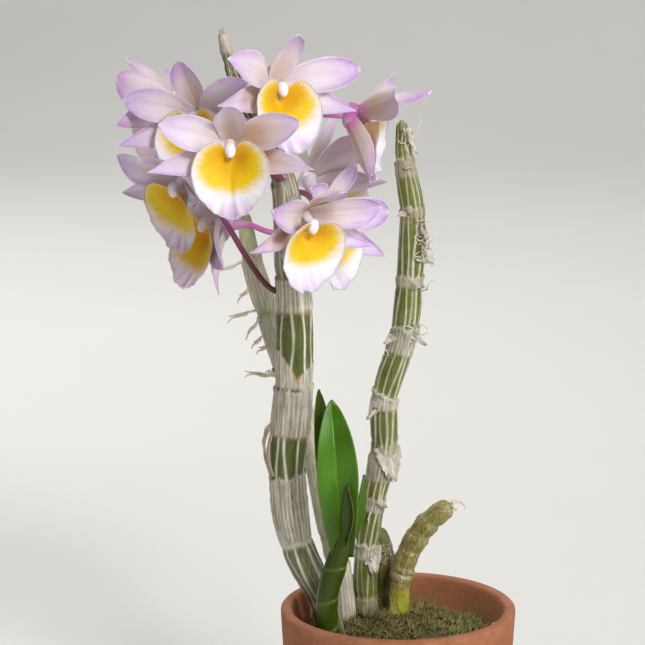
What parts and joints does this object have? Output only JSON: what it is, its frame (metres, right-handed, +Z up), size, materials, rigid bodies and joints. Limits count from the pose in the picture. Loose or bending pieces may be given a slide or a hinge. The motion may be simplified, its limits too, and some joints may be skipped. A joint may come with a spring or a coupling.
{
  "type": "potted dendrobium orchid",
  "caption": "Dendrobium orchid in a small clay pot: jointed leafless canes, a cluster of lilac blooms with round yellow lips, and one leafy new growth.",
  "frame": {"origin": "centre of the pot's underside, on the surface it stands on", "axes": "+Z up; the side of the plant that most blooms face is -Y, and +X is to the right of a viewer there"},
  "size_m": [0.1133, 0.0902, 0.226],
  "materials": {
    "clay": "unglazed fired clay",
    "moss": "moss over potting mix",
    "cane": "green cane in pale papery sheaths",
    "old_cane": "bare yellow-green cane",
    "leaf": "glossy leaf",
    "petal": "waxy petal",
    "lip": "velvety lip, yellow with a white rim"
  },
  "bodies": {
    "root": {"pot": "clay", "moss": "moss", "cane_flowering": "cane", "cane_rear": "cane", "cane_right": "cane", "cane_stub": "old_cane", "cane_dark_stub": "old_cane", "new_growth": "leaf", "bloom_front": "petal", "bloom_front_lip": "lip", "bloom_top": "petal", "bloom_top_lip": "lip", "bloom_right": "petal", "bloom_right_lip": "lip", "bloom_upper_left": "petal", "bloom_upper_left_lip": "lip", "bloom_far_left": "petal", "bloom_far_left_lip": "lip", "bloom_left": "petal", "bloom_left_lip": "lip", "bloom_low_left": "petal", "bloom_low_left_lip": "lip", "bloom_low_right": "petal", "bloom_low_right_lip": "lip", "bloom_low_right_rear": "petal", "bloom_low_right_rear_lip": "lip", "bloom_back": "petal", "bloom_back_lip": "lip"}
  },
  "joints": []
}
